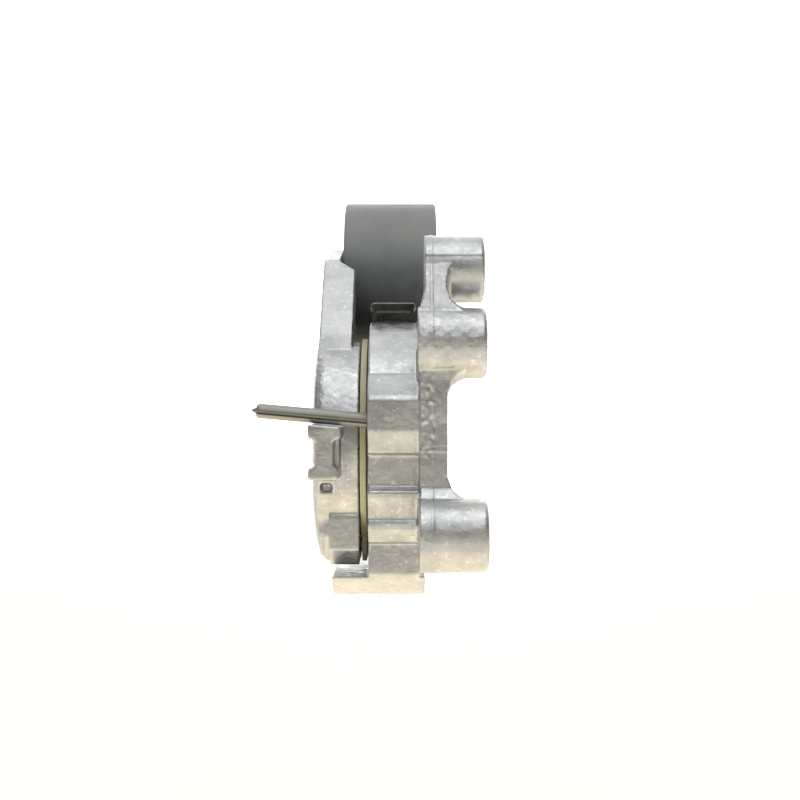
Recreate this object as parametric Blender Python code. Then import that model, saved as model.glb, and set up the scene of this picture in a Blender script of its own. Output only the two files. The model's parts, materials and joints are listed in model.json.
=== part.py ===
"""Belt tensioner with a smooth idler pulley, held by its assembly pin.

The pivot and pulley axes run along Y. The mounting plane is y = 0 and the arm faces -Y. Lengths in
the dimensions below are millimetres; the helpers turn them into metres.
"""

import math

import bmesh
import bpy
from mathutils import Vector

MM = 0.001

# Planes across the pivot axis, from the mounting plane to the front.
FLANGE_REAR_Y = -11.5
FLANGE_FRONT_Y = -19.7
BASE_FRONT_Y = -35.2
RING_REAR_Y = -35.8
RING_FRONT_Y = -37.7
ARM_REAR_Y = -38.0
ARM_FRONT_Y = -52.4
RING_RADIUS = 34.0

# Spring housing.
BASE_RADIUS = 40.0
CAVITY_RADIUS = 30.0
BACK_WALL = 4.5
BASE_HUB_RADIUS = 12.0
BASE_HUB_FRONT_Y = -22.0
ARM_RADIUS = 33.6
ARM_WALL = 4.0
ARM_HUB_RADIUS = 12.0
ARM_HUB_REAR_Y = -24.0
SHAFT_RADIUS = 7.0
SHAFT_STUB_RADIUS = 5.0
FIT = 0.3

# Mounting bosses as (x, z, radius), all ending on the mounting plane.
TOP_BOSS = (28.0, 53.9, 10.2)
MIDDLE_BOSS = (38.0, 30.8, 10.6)
BOTTOM_BOSS = (45.0, -25.6, 10.8)
BOLT_HOLE_RADIUS = 4.3
TOP_BOSS_FRONT_Y = -18.1
FLANGE_NEAR_X = 45.0
SET_BACK_Z = 40.4
ROOT_FILLET = 5.5
SMALL_FILLET = 2.0

# Pulley and its bearing.
PULLEY_X = -50.0
PULLEY_Z = 58.6
PULLEY_RADIUS = 28.0
PULLEY_FRONT_Y = -45.3
PULLEY_REAR_Y = -12.6
RIM_WALL = 3.0
BEARING_RADIUS = 20.0
BEARING_BORE_RADIUS = 8.5
BEARING_WIDTH = 12.0
BEARING_Y = 0.5 * (PULLEY_FRONT_Y + PULLEY_REAR_Y)
BEARING_FRONT_Y = BEARING_Y - BEARING_WIDTH / 2
BEARING_REAR_Y = BEARING_Y + BEARING_WIDTH / 2
BALL_COUNT = 8
BALL_RADIUS = 3.4
BALL_PITCH_RADIUS = 14.25
GROOVE_RADIUS = 3.75

# Arm.
EYE_RADIUS = 11.2
PLATE_FRONT_Y = -50.0
PLATE_REAR_Y = -45.9
NECK_FRONT_Y = -51.6
NECK_REAR_Y = -40.8
BOSS_RADIUS = 10.8
SPIGOT_RADIUS = 8.2
BOLT_RADIUS = 5.0
SHIELD_SHEET = 1.0
SPIGOT_SHOULDER_Y = BEARING_FRONT_Y - SHIELD_SHEET - 2 * FIT
SPIGOT_END_Y = BEARING_REAR_Y - 1.0

# Lock pin, a slotted spring pin that dips toward the base.
PIN_X = 40.0
PIN_Z = 7.8
PIN_TILT = math.radians(5.15)
PIN_RADIUS = 2.2
PIN_WALL = 0.8
PIN_SLOT_ANGLE = math.radians(34)
PIN_OUT = 34.5
PIN_IN = 10.0

# Stop finger on the base and stop lug on the arm.
FINGER_FRONT_Y = -46.4
FINGER_REAR_Y = -17.8
FINGER_TOP_Z = -40.3
STOP_LUG_FRONT_Y = -47.3
FOOT_FRONT_Y = -49.4
FOOT_NOSE_Y = -50.9

# I-shaped holding lug on the arm, just under the lock pin.
LUG_NEAR_X = 44.0
LUG_FAR_X = 31.0
LUG_FRONT_Y = -52.6
LUG_REAR_Y = -42.9
LUG_WEB_FRONT_Y = -50.3
LUG_WEB_REAR_Y = -45.2
LUG_TOP_Z = 5.9
LUG_BOTTOM_Z = -9.7
LUG_BACK_X = 38.0
WINDOW = ((28.2, 36.0), (-49.6, -46.2), (-14.1, -11.5))

# Cap pressed into the front of the arm, over the pivot.
CAP_RADIUS = 15.7
CAP_WALL = 0.9
CAP_DEPTH = 3.8

# Torsion spring.
SPRING_WIRE_RADIUS = 2.6
SPRING_MEAN_RADIUS = 23.6
SPRING_TURNS = 4.6
SPRING_FRONT_Y = -44.2
SPRING_REAR_Y = -21.6

# Keeper clip on top of the spring housing.
CLIP_FRONT_Y = -35.1
CLIP_REAR_Y = -20.4
CLIP_SHEET = 1.2
CLIP_TOP_Z = 45.3
CLIP_NEAR_X = 9.0
CLIP_FAR_X = -5.0
CLIP_FOOT_Z = 38.0

# Points round a full turn.
ROUND = 44
SMALL_ROUND = 28


def principled(name, color, roughness, metallic):
    made = bpy.data.materials.new(name)
    made.use_nodes = True
    shader = made.node_tree.nodes["Principled BSDF"]
    shader.inputs["Base Color"].default_value = (*color, 1.0)
    shader.inputs["Roughness"].default_value = roughness
    shader.inputs["Metallic"].default_value = metallic
    made.diffuse_color = (*color, 1.0)
    return made


def add_object(name, bm, material):
    """Makes an object of the bmesh, whose lengths are millimetres."""
    bmesh.ops.recalc_face_normals(bm, faces=bm.faces)
    bmesh.ops.scale(bm, vec=Vector((MM, MM, MM)), verts=bm.verts)
    mesh = bpy.data.meshes.new(name)
    bm.to_mesh(mesh)
    bm.free()
    mesh.shade_smooth()
    mesh.set_sharp_from_angle(angle=math.radians(30))
    made = bpy.data.objects.new(name, mesh)
    bpy.context.scene.collection.objects.link(made)
    if material:
        mesh.materials.append(material)
    return made


def helper(made):
    """Hides a solid that only adds to or cuts from another."""
    made.hide_render = True
    made.display_type = "WIRE"
    return made


def combine(target, tool, operation, solver="MANIFOLD"):
    """Adds or cuts one solid. The exact solver leaves open edges on the two castings."""
    modifier = target.modifiers.new(operation.title() + " " + tool.name, "BOOLEAN")
    modifier.object = helper(tool)
    modifier.operation = operation
    modifier.solver = solver


def arc(centre, radius, start, end, steps):
    """Points on an arc between two angles in degrees, both ends included."""
    angles = [math.radians(start + (end - start) * i / steps) for i in range(steps + 1)]
    return [(centre[0] + radius * math.cos(a), centre[1] + radius * math.sin(a)) for a in angles]


def rounded(outline, radius, steps=3):
    """The outline with each corner, inner or outer, replaced by a short curve."""
    corners = [Vector(point) for point in outline]
    points = []
    for before, corner, after in zip(corners[-1:] + corners[:-1], corners, corners[1:] + corners[:1]):
        start = corner + (before - corner).normalized() * radius
        end = corner + (after - corner).normalized() * radius
        for i in range(steps + 1):
            t = i / steps
            points.append(start * (1 - t) ** 2 + corner * 2 * t * (1 - t) + end * t**2)
    return [tuple(point) for point in points]


def prism(name, outline, front_y, rear_y, material=None):
    """An outline in X and Z, drawn out along Y."""
    bm = bmesh.new()
    front = [bm.verts.new((x, front_y, z)) for x, z in outline]
    rear = [bm.verts.new((x, rear_y, z)) for x, z in outline]
    bm.faces.new(front)
    bm.faces.new(rear[::-1])
    for i in range(len(outline)):
        j = (i + 1) % len(outline)
        bm.faces.new((front[j], front[i], rear[i], rear[j]))
    return add_object(name, bm, material)


def cross_prism(name, outline, far_x, near_x, material=None):
    """An outline in Y and Z, drawn out along X."""
    bm = bmesh.new()
    near = [bm.verts.new((near_x, y, z)) for y, z in outline]
    far = [bm.verts.new((far_x, y, z)) for y, z in outline]
    bm.faces.new(near)
    bm.faces.new(far[::-1])
    for i in range(len(outline)):
        j = (i + 1) % len(outline)
        bm.faces.new((near[j], near[i], far[i], far[j]))
    return add_object(name, bm, material)


def turned(name, profile, material=None, centre=(0.0, 0.0), segments=ROUND):
    """A closed outline of (radius, y) points turned about an axis along Y through centre."""
    bm = bmesh.new()
    rings = []
    for radius, y in profile:
        if radius == 0.0:
            rings.append([bm.verts.new((centre[0], y, centre[1]))] * segments)
            continue
        points = arc(centre, radius, 0, 360, segments)[:-1]
        rings.append([bm.verts.new((x, y, z)) for x, z in points])
    for here, there in zip(rings, rings[1:] + rings[:1]):
        for i in range(segments):
            j = (i + 1) % segments
            corners = dict.fromkeys((here[i], here[j], there[j], there[i]))
            if len(corners) > 2:
                bm.faces.new(corners)
    return add_object(name, bm, material)


def cylinder(name, centre, radius, front_y, rear_y, material=None, segments=SMALL_ROUND):
    profile = [(0.0, front_y), (radius, front_y), (radius, rear_y), (0.0, rear_y)]
    return turned(name, profile, material, centre, segments)


def at_pulley(made):
    """Moves a piece that was built about its own axis onto the pulley axis."""
    made.location = (PULLEY_X * MM, 0.0, PULLEY_Z * MM)
    return made


def base_outline():
    """Round on top and at the far side, with the pin block, ribs and stop block at the near side."""
    near_side = [
        (40.2, 17.4),
        (43.0, 15.4),
        (44.0, 14.0),
        (44.0, 4.6),
        (41.2, -1.8),
        (37.6, -2.4),
        (37.2, -12.0),
        (39.4, -13.4),
        (39.2, -14.9),
        (35.8, -22.0),
        (37.4, -23.5),
        (37.0, -25.0),
        (33.2, -29.2),
        (30.2, -29.8),
        (30.0, -39.4),
        (27.8, -41.2),
        (17.0, -46.8),
        (5.0, -46.0),
        (-2.0, -42.0),
    ]
    far_side = arc((0, 0), BASE_RADIUS, 262, 34, 33)
    return near_side + far_side


def finger_outline():
    return [
        (28.0, FINGER_TOP_Z),
        (27.6, -41.4),
        (17.0, -47.4),
        (11.0, -48.2),
        (3.0, -47.4),
        (-3.0, -45.6),
        (-6.5, FINGER_TOP_Z),
    ]


def flange_outline():
    """The plate behind the spring housing, reaching out to the three bosses."""
    top = arc(TOP_BOSS[:2], TOP_BOSS[2], 135, 20, 8)
    middle = arc(MIDDLE_BOSS[:2], 7.6, 20, 0, 2)
    bottom = arc(BOTTOM_BOSS[:2], 8.6, 20, -110, 8)
    far_side = arc((0, 0), BASE_RADIUS - 1.5, 285, 75, 30)
    return top + middle + [(FLANGE_NEAR_X, 20.0), (FLANGE_NEAR_X, -12.0)] + bottom + far_side


def add_boss(base, name, boss, front_y, fillet_size):
    """A drafted boss, ending on the mounting plane, with a fillet where it leaves the flange."""
    x, z, radius = boss
    profile = [
        (0.0, front_y),
        (radius + 0.2, front_y),
        (radius - 0.1, -0.7),
        (radius - 0.8, 0.0),
        (0.0, 0.0),
    ]
    combine(base, turned(name + "_solid", profile, None, (x, z), SMALL_ROUND), "UNION")
    root = FLANGE_REAR_Y
    flare = [
        (0.0, root - 1.0),
        (radius + fillet_size, root - 1.0),
        (radius + fillet_size, root + 0.2),
        (radius + 0.42 * fillet_size, root + 0.25 * fillet_size),
        (radius + 0.12 * fillet_size, root + 0.65 * fillet_size),
        (radius - 0.3, root + 1.1 * fillet_size),
        (0.0, root + 1.1 * fillet_size),
    ]
    fillet = turned(name + "_fillet", flare, None, (x, z), SMALL_ROUND)
    limit = prism(name + "_fillet_limit", flange_outline(), root - 2.0, 0.0)
    combine(fillet, limit, "INTERSECT")
    combine(base, fillet, "UNION")


def add_base_housing(metal):
    base = prism("base_housing", base_outline(), BASE_FRONT_Y, FLANGE_FRONT_Y + 0.2, metal)
    combine(base, prism("flange_solid", flange_outline(), FLANGE_FRONT_Y, FLANGE_REAR_Y), "UNION")
    finger = prism("finger_solid", finger_outline(), FINGER_FRONT_Y, FINGER_REAR_Y)
    combine(base, finger, "UNION")
    set_back = [
        (BASE_FRONT_Y, SET_BACK_Z),
        (FLANGE_FRONT_Y - 0.1, SET_BACK_Z),
        (TOP_BOSS_FRONT_Y, SET_BACK_Z + 6.6),
        (TOP_BOSS_FRONT_Y, 70.0),
        (BASE_FRONT_Y, 70.0),
    ]
    combine(base, cross_prism("set_back_cut", set_back, 6.0, 60.0), "DIFFERENCE")
    for name, boss, front_y, fillet_size in (
        ("top_boss", TOP_BOSS, TOP_BOSS_FRONT_Y, SMALL_FILLET),
        ("middle_boss", MIDDLE_BOSS, FLANGE_FRONT_Y - 0.5, ROOT_FILLET),
        ("bottom_boss", BOTTOM_BOSS, FLANGE_FRONT_Y - 0.3, ROOT_FILLET),
    ):
        add_boss(base, name, boss, front_y, fillet_size)
    cavity_floor = FLANGE_REAR_Y - BACK_WALL
    cavity = cylinder(
        "cavity_cut", (0, 0), CAVITY_RADIUS, BASE_FRONT_Y - 1.0, cavity_floor, None, ROUND
    )
    combine(base, cavity, "DIFFERENCE")
    hub = cylinder("hub_solid", (0, 0), BASE_HUB_RADIUS, BASE_HUB_FRONT_Y, cavity_floor + 1.0)
    combine(base, hub, "UNION")
    shaft_hole = cylinder(
        "shaft_cut", (0, 0), SHAFT_RADIUS + FIT, BASE_HUB_FRONT_Y - 1.0, FLANGE_REAR_Y + 1.0
    )
    combine(base, shaft_hole, "DIFFERENCE")
    for name, (x, z, _) in (("top", TOP_BOSS), ("middle", MIDDLE_BOSS), ("bottom", BOTTOM_BOSS)):
        hole = cylinder(
            name + "_hole_cut", (x, z), BOLT_HOLE_RADIUS, BASE_FRONT_Y, 1.0, None, 20
        )
        combine(base, hole, "DIFFERENCE")
    combine(base, pin_hole_cutter(), "DIFFERENCE")
    far_x, near_x = CLIP_FAR_X - 2 * FIT, CLIP_NEAR_X + 2 * FIT
    low_z, high_z = CLIP_FOOT_Z - 1.0, BASE_RADIUS + 2.0
    slot_outline = [(far_x, low_z), (near_x, low_z), (near_x, high_z), (far_x, high_z)]
    for y in (CLIP_FRONT_Y, CLIP_REAR_Y - CLIP_SHEET):
        slot = prism("clip_slot_cut", slot_outline, y - FIT, y + CLIP_SHEET + FIT)
        combine(base, slot, "DIFFERENCE")
    return base


def pin_frame(made):
    """Lays a piece built along Y onto the pin's axis, with its origin at the mouth of the hole."""
    made.location = (PIN_X * MM, BASE_FRONT_Y * MM, PIN_Z * MM)
    made.rotation_euler = (-PIN_TILT, 0.0, 0.0)
    return made


def pin_hole_cutter():
    cutter = cylinder("pin_hole_cut", (0, 0), PIN_RADIUS + FIT, -4.0, PIN_IN + FIT, None, 24)
    return pin_frame(cutter)


def add_lock_pin(steel):
    """A rolled strip, so its section is a ring with a slot, with both ends tapered."""
    half_slot = math.degrees(PIN_SLOT_ANGLE) / 2
    slot_at = -12.0
    start = slot_at + half_slot
    end = slot_at + 360 - half_slot
    outer = arc((0, 0), PIN_RADIUS, start, end, 20)
    inner = arc((0, 0), PIN_RADIUS - PIN_WALL, end, start, 20)
    section = outer + inner
    stations = [
        (-PIN_OUT, 0.56),
        (-PIN_OUT + 1.9, 1.0),
        (PIN_IN - 1.2, 1.0),
        (PIN_IN, 0.8),
    ]
    bm = bmesh.new()
    rings = [
        [bm.verts.new((x * scale, y, z * scale)) for x, z in section] for y, scale in stations
    ]
    for here, there in zip(rings, rings[1:]):
        for i in range(len(section)):
            j = (i + 1) % len(section)
            bm.faces.new((here[i], here[j], there[j], there[i]))
    half = len(outer)
    for ring in (rings[0], rings[-1]):
        for i in range(half - 1):
            bm.faces.new((ring[i], ring[i + 1], ring[-i - 2], ring[-i - 1]))
    return pin_frame(add_object("lock_pin", bm, steel))


def add_keeper_clip(black):
    """A bent strip whose two legs stand in slots in the housing wall."""
    corner = 1.6
    outside = [
        (CLIP_FRONT_Y, CLIP_FOOT_Z),
        (CLIP_FRONT_Y, CLIP_TOP_Z - corner),
        (CLIP_FRONT_Y + 0.5, CLIP_TOP_Z - 0.5),
        (CLIP_FRONT_Y + corner, CLIP_TOP_Z),
        (CLIP_REAR_Y - corner, CLIP_TOP_Z),
        (CLIP_REAR_Y - 0.5, CLIP_TOP_Z - 0.5),
        (CLIP_REAR_Y, CLIP_TOP_Z - corner),
        (CLIP_REAR_Y, CLIP_FOOT_Z),
    ]
    inside = [
        (CLIP_REAR_Y - CLIP_SHEET, CLIP_FOOT_Z),
        (CLIP_REAR_Y - CLIP_SHEET, CLIP_TOP_Z - CLIP_SHEET - 0.4),
        (CLIP_REAR_Y - CLIP_SHEET - 0.4, CLIP_TOP_Z - CLIP_SHEET),
        (CLIP_FRONT_Y + CLIP_SHEET + 0.4, CLIP_TOP_Z - CLIP_SHEET),
        (CLIP_FRONT_Y + CLIP_SHEET, CLIP_TOP_Z - CLIP_SHEET - 0.4),
        (CLIP_FRONT_Y + CLIP_SHEET, CLIP_FOOT_Z),
    ]
    return cross_prism("keeper_clip", outside + inside, CLIP_FAR_X, CLIP_NEAR_X, black)


def plate_outline():
    """The arm plate: from the round housing up to the eye in front of the pulley."""
    eye = (PULLEY_X, PULLEY_Z)
    near_side = [(18.6, 27.8), (10.0, 34.2), (-16.4, 62.3), (-19.0, 62.8)]
    around_eye = arc(eye, EYE_RADIUS, 78, 225, 14)
    housing = arc((0, 0), ARM_RADIUS - 2.0, 208, 416, 24)
    return near_side + around_eye + housing[:-1]


def neck_outline():
    """The thick near side of the arm, clear of the pulley."""
    return [
        (22.0, 22.0),
        (18.6, 27.8),
        (10.0, 34.2),
        (-16.4, 62.3),
        (-18.9, 60.4),
        (-18.6, 54.0),
        (-16.0, 44.0),
        (-10.0, 31.0),
        (0.0, 24.0),
    ]


def neck_bevel_outline():
    """In Y and Z: what is taken off the rear top corner of the neck."""
    return [(-46.4, 61.9), (-46.4, 70.0), (-38.0, 70.0), (-38.0, 56.4)]


def lug_outline():
    """In Y and Z: an I standing on end, its top parallel to the lock pin above it."""
    shelf = 3.4
    top_rise = (LUG_REAR_Y - LUG_FRONT_Y) * math.tan(PIN_TILT)
    return [
        (LUG_FRONT_Y, LUG_TOP_Z + top_rise),
        (LUG_FRONT_Y, LUG_TOP_Z - shelf),
        (LUG_WEB_FRONT_Y, LUG_TOP_Z - shelf - 0.6),
        (LUG_WEB_FRONT_Y, LUG_BOTTOM_Z + shelf + 0.6),
        (LUG_FRONT_Y, LUG_BOTTOM_Z + shelf),
        (LUG_FRONT_Y, LUG_BOTTOM_Z),
        (LUG_REAR_Y - 0.9, LUG_BOTTOM_Z),
        (LUG_REAR_Y - 0.9, LUG_BOTTOM_Z + shelf),
        (LUG_WEB_REAR_Y, LUG_BOTTOM_Z + shelf + 0.6),
        (LUG_WEB_REAR_Y, LUG_TOP_Z - shelf - 0.6),
        (LUG_REAR_Y, LUG_TOP_Z - shelf),
        (LUG_REAR_Y, LUG_TOP_Z),
    ]


def stop_lug_outline():
    return [
        (20.0, -16.0),
        (26.4, -20.6),
        (27.0, -22.0),
        (27.0, -32.2),
        (22.0, -37.4),
        (14.0, -37.0),
        (10.0, -30.0),
    ]


def foot_outline(inset):
    """The low bulge of the arm behind its stop lug."""
    return [
        (24.4 - inset, -20.0 + inset),
        (24.4 - inset, -28.5 + inset / 2),
        (21.5 - inset, -34.6 + inset),
        (15.0, -37.0 + inset),
        (5.0, -37.4 + inset),
        (-4.0 + inset / 2, -36.0 + inset),
        (-12.0 + inset, -31.8 + inset),
        (-16.0 + inset, -25.0),
        (0.0, -18.0 + inset),
    ]


def add_arm(metal):
    profile = [
        (0.0, ARM_FRONT_Y + 1.0),
        (17.0, ARM_FRONT_Y + 1.0),
        (18.0, ARM_FRONT_Y),
        (ARM_RADIUS - 3.0, ARM_FRONT_Y),
        (ARM_RADIUS - 0.9, ARM_FRONT_Y + 0.9),
        (ARM_RADIUS, ARM_FRONT_Y + 3.0),
        (ARM_RADIUS, ARM_REAR_Y),
        (0.0, ARM_REAR_Y),
    ]
    arm = turned("arm_casting", profile, metal)
    combine(arm, prism("plate_solid", plate_outline(), PLATE_FRONT_Y, PLATE_REAR_Y), "UNION")
    neck = prism("neck_solid", neck_outline(), NECK_FRONT_Y, NECK_REAR_Y)
    neck_bevel = cross_prism("neck_bevel_cut", neck_bevel_outline(), -30.0, 10.0)
    combine(neck, neck_bevel, "DIFFERENCE")
    combine(arm, neck, "UNION")
    lug = cross_prism("lug_solid", rounded(lug_outline(), 0.8, 2), LUG_FAR_X, LUG_NEAR_X)
    combine(arm, lug, "UNION")
    lug_back = [
        (LUG_WEB_FRONT_Y - 0.9, LUG_BOTTOM_Z + 0.5),
        (LUG_WEB_FRONT_Y - 0.9, LUG_TOP_Z - 0.6),
        (LUG_WEB_REAR_Y + 1.6, LUG_TOP_Z - 1.0),
        (LUG_WEB_REAR_Y + 1.6, LUG_BOTTOM_Z + 0.5),
    ]
    combine(arm, cross_prism("lug_back_solid", lug_back, LUG_FAR_X + 0.6, LUG_BACK_X), "UNION")
    foot = prism("foot_solid", foot_outline(0.0), FOOT_FRONT_Y, ARM_REAR_Y)
    combine(arm, foot, "UNION")
    nose = prism("foot_nose_solid", foot_outline(1.6), FOOT_NOSE_Y, FOOT_FRONT_Y + 1.0)
    combine(arm, nose, "UNION")
    stop_lug = prism("stop_lug_solid", stop_lug_outline(), STOP_LUG_FRONT_Y, ARM_REAR_Y)
    combine(arm, stop_lug, "UNION")
    cavity = cylinder(
        "arm_cavity_cut",
        (0, 0),
        ARM_RADIUS - ARM_WALL,
        ARM_FRONT_Y + 5.0,
        ARM_REAR_Y + 1.0,
        None,
        ROUND,
    )
    combine(arm, cavity, "DIFFERENCE")
    hub = cylinder("arm_hub_solid", (0, 0), ARM_HUB_RADIUS, ARM_FRONT_Y + 4.0, ARM_HUB_REAR_Y)
    combine(arm, hub, "UNION")
    bore = cylinder(
        "arm_bore_cut", (0, 0), SHAFT_RADIUS + 2.6, ARM_FRONT_Y + 2.0, ARM_HUB_REAR_Y + 1.0
    )
    combine(arm, bore, "DIFFERENCE")
    recess = cylinder(
        "cap_recess_cut",
        (0, 0),
        CAP_RADIUS + FIT,
        ARM_FRONT_Y - 1.0,
        ARM_FRONT_Y + CAP_DEPTH + 0.4,
        None,
        ROUND,
    )
    combine(arm, recess, "DIFFERENCE")
    (far_x, near_x), (front_y, rear_y), (low_z, high_z) = WINDOW
    window = [(front_y, low_z), (rear_y, low_z), (rear_y, high_z), (front_y, high_z)]
    combine(arm, cross_prism("window_cut", window, far_x, near_x), "DIFFERENCE")
    boss_profile = [
        (0.0, PLATE_REAR_Y - 1.0),
        (BOSS_RADIUS, PLATE_REAR_Y - 1.0),
        (BOSS_RADIUS, SPIGOT_SHOULDER_Y),
        (SPIGOT_RADIUS, SPIGOT_SHOULDER_Y),
        (SPIGOT_RADIUS, SPIGOT_END_Y),
        (0.0, SPIGOT_END_Y),
    ]
    eye = (PULLEY_X, PULLEY_Z)
    combine(arm, turned("arm_boss_solid", boss_profile, None, eye, SMALL_ROUND), "UNION")
    thread = cylinder(
        "bolt_hole_cut", eye, BOLT_RADIUS + FIT, PLATE_FRONT_Y - 1.0, SPIGOT_END_Y + 1.0, None, 32
    )
    combine(arm, thread, "DIFFERENCE")
    return arm


def add_pivot_pieces(steel, nylon):
    """The fixed shaft, the bush that the arm turns on, and the plates that keep it there."""
    plate_y = ARM_FRONT_Y + 2.4
    turned(
        "pivot_shaft",
        [
            (0.0, plate_y - 0.6),
            (SHAFT_STUB_RADIUS - 0.6, plate_y - 0.6),
            (SHAFT_STUB_RADIUS, plate_y),
            (SHAFT_STUB_RADIUS, plate_y + 2.1),
            (SHAFT_RADIUS, plate_y + 2.1),
            (SHAFT_RADIUS, FLANGE_REAR_Y - 0.3),
            (SHAFT_RADIUS - 0.8, FLANGE_REAR_Y + 0.4),
            (0.0, FLANGE_REAR_Y + 0.4),
        ],
        steel,
        segments=SMALL_ROUND,
    )
    turned(
        "pivot_bushing",
        [
            (SHAFT_RADIUS + FIT, ARM_FRONT_Y + 4.8),
            (SHAFT_RADIUS + 2.3, ARM_FRONT_Y + 4.8),
            (SHAFT_RADIUS + 2.3, ARM_HUB_REAR_Y),
            (SHAFT_RADIUS + FIT, ARM_HUB_REAR_Y),
        ],
        nylon,
        segments=SMALL_ROUND,
    )
    turned(
        "thrust_washer",
        [
            (SHAFT_RADIUS + FIT, ARM_HUB_REAR_Y + 0.3),
            (BASE_HUB_RADIUS - 0.3, ARM_HUB_REAR_Y + 0.3),
            (BASE_HUB_RADIUS - 0.3, BASE_HUB_FRONT_Y - 0.3),
            (SHAFT_RADIUS + FIT, BASE_HUB_FRONT_Y - 0.3),
        ],
        nylon,
        segments=SMALL_ROUND,
    )
    turned(
        "retaining_plate",
        [
            (SHAFT_STUB_RADIUS + FIT, plate_y),
            (13.4, plate_y),
            (14.0, plate_y + 0.6),
            (14.0, plate_y + 1.5),
            (SHAFT_STUB_RADIUS + FIT, plate_y + 1.5),
        ],
        steel,
        segments=SMALL_ROUND,
    )


def add_front_cap(black):
    """A pressed-in cap that covers the end of the pivot."""
    turned(
        "front_cap",
        [
            (0.0, ARM_FRONT_Y),
            (12.0, ARM_FRONT_Y + 0.1),
            (CAP_RADIUS - 0.7, ARM_FRONT_Y + 0.3),
            (CAP_RADIUS, ARM_FRONT_Y + 0.9),
            (CAP_RADIUS, ARM_FRONT_Y + CAP_DEPTH),
            (CAP_RADIUS - CAP_WALL, ARM_FRONT_Y + CAP_DEPTH),
            (CAP_RADIUS - CAP_WALL, ARM_FRONT_Y + CAP_WALL + 0.3),
            (0.0, ARM_FRONT_Y + CAP_WALL + 0.2),
        ],
        black,
        segments=SMALL_ROUND,
    )


def add_damping_ring(nylon):
    """The flanged friction ring between arm and base, with a tab at its foot and an inner skirt."""
    skirt_outer = CAVITY_RADIUS - 0.4
    skirt_inner = CAVITY_RADIUS - 1.9
    skirt_rear_y = -27.0
    edge = 0.3
    ring = turned(
        "damping_ring",
        [
            (skirt_inner, RING_FRONT_Y),
            (RING_RADIUS - edge, RING_FRONT_Y),
            (RING_RADIUS, RING_FRONT_Y + edge),
            (RING_RADIUS, RING_REAR_Y - edge),
            (RING_RADIUS - edge, RING_REAR_Y),
            (skirt_outer, RING_REAR_Y),
            (skirt_outer, skirt_rear_y),
            (skirt_inner, skirt_rear_y),
        ],
        nylon,
    )
    tab_outline = [
        (-8.0, -32.5),
        (-7.0, -36.0),
        (-4.0, -37.4),
        (14.0, -37.4),
        (16.5, -34.5),
        (17.0, -29.0),
        (0.0, -32.0),
    ]
    tab = prism("ring_tab_solid", tab_outline, RING_FRONT_Y + 0.2, RING_REAR_Y - 0.2)
    combine(ring, tab, "UNION", "EXACT")


def add_torsion_spring(steel):
    """A round-wire coil, drawn by moving a ring of points along a helix."""
    steps_per_turn = 22
    sides = 6
    steps = int(SPRING_TURNS * steps_per_turn)
    bm = bmesh.new()
    rings = []
    for i in range(steps + 1):
        turn = 2 * math.pi * i / steps_per_turn
        y = SPRING_FRONT_Y + (SPRING_REAR_Y - SPRING_FRONT_Y) * i / steps
        outward = Vector((math.cos(turn), 0.0, math.sin(turn)))
        along = Vector((0.0, 1.0, 0.0))
        ring = []
        for k in range(sides):
            angle = 2 * math.pi * k / sides
            across = SPRING_MEAN_RADIUS + SPRING_WIRE_RADIUS * math.cos(angle)
            height = y + SPRING_WIRE_RADIUS * math.sin(angle)
            ring.append(bm.verts.new(outward * across + along * height))
        rings.append(ring)
    for here, there in zip(rings, rings[1:]):
        for k in range(sides):
            n = (k + 1) % sides
            bm.faces.new((here[k], here[n], there[n], there[k]))
    bm.faces.new(rings[0])
    bm.faces.new(rings[-1][::-1])
    return add_object("torsion_spring", bm, steel)


def add_spring_seat(nylon):
    """The plastic ring that the spring stands on inside the base."""
    floor = FLANGE_REAR_Y - BACK_WALL
    turned(
        "spring_seat",
        [
            (18.5, floor - 2.0),
            (28.0, floor - 2.0),
            (29.4, floor - 1.2),
            (29.4, floor - 0.3),
            (18.5, floor - 0.3),
        ],
        nylon,
        segments=SMALL_ROUND,
    )


def add_pulley_shell(plastic):
    """A smooth rim on a web, with a hub round the bearing."""
    inner = PULLEY_RADIUS - RIM_WALL
    hub = BEARING_RADIUS + 2.6
    web = 2.4
    lip = 0.8
    made = turned(
        "pulley_shell",
        [
            (inner + 0.4, PULLEY_FRONT_Y),
            (PULLEY_RADIUS - lip, PULLEY_FRONT_Y),
            (PULLEY_RADIUS - 0.2, PULLEY_FRONT_Y + 0.25),
            (PULLEY_RADIUS, PULLEY_FRONT_Y + lip),
            (PULLEY_RADIUS, PULLEY_REAR_Y - lip),
            (PULLEY_RADIUS - 0.2, PULLEY_REAR_Y - 0.25),
            (PULLEY_RADIUS - lip, PULLEY_REAR_Y),
            (inner + 0.4, PULLEY_REAR_Y),
            (inner, BEARING_Y + web),
            (hub, BEARING_Y + web),
            (hub - 0.3, BEARING_REAR_Y + 1.2),
            (BEARING_RADIUS + FIT, BEARING_REAR_Y + 1.2),
            (BEARING_RADIUS + FIT, BEARING_FRONT_Y - 1.2),
            (hub - 0.3, BEARING_FRONT_Y - 1.2),
            (hub, BEARING_Y - web),
            (inner, BEARING_Y - web),
        ],
        plastic,
        segments=48,
    )
    return at_pulley(made)


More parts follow.
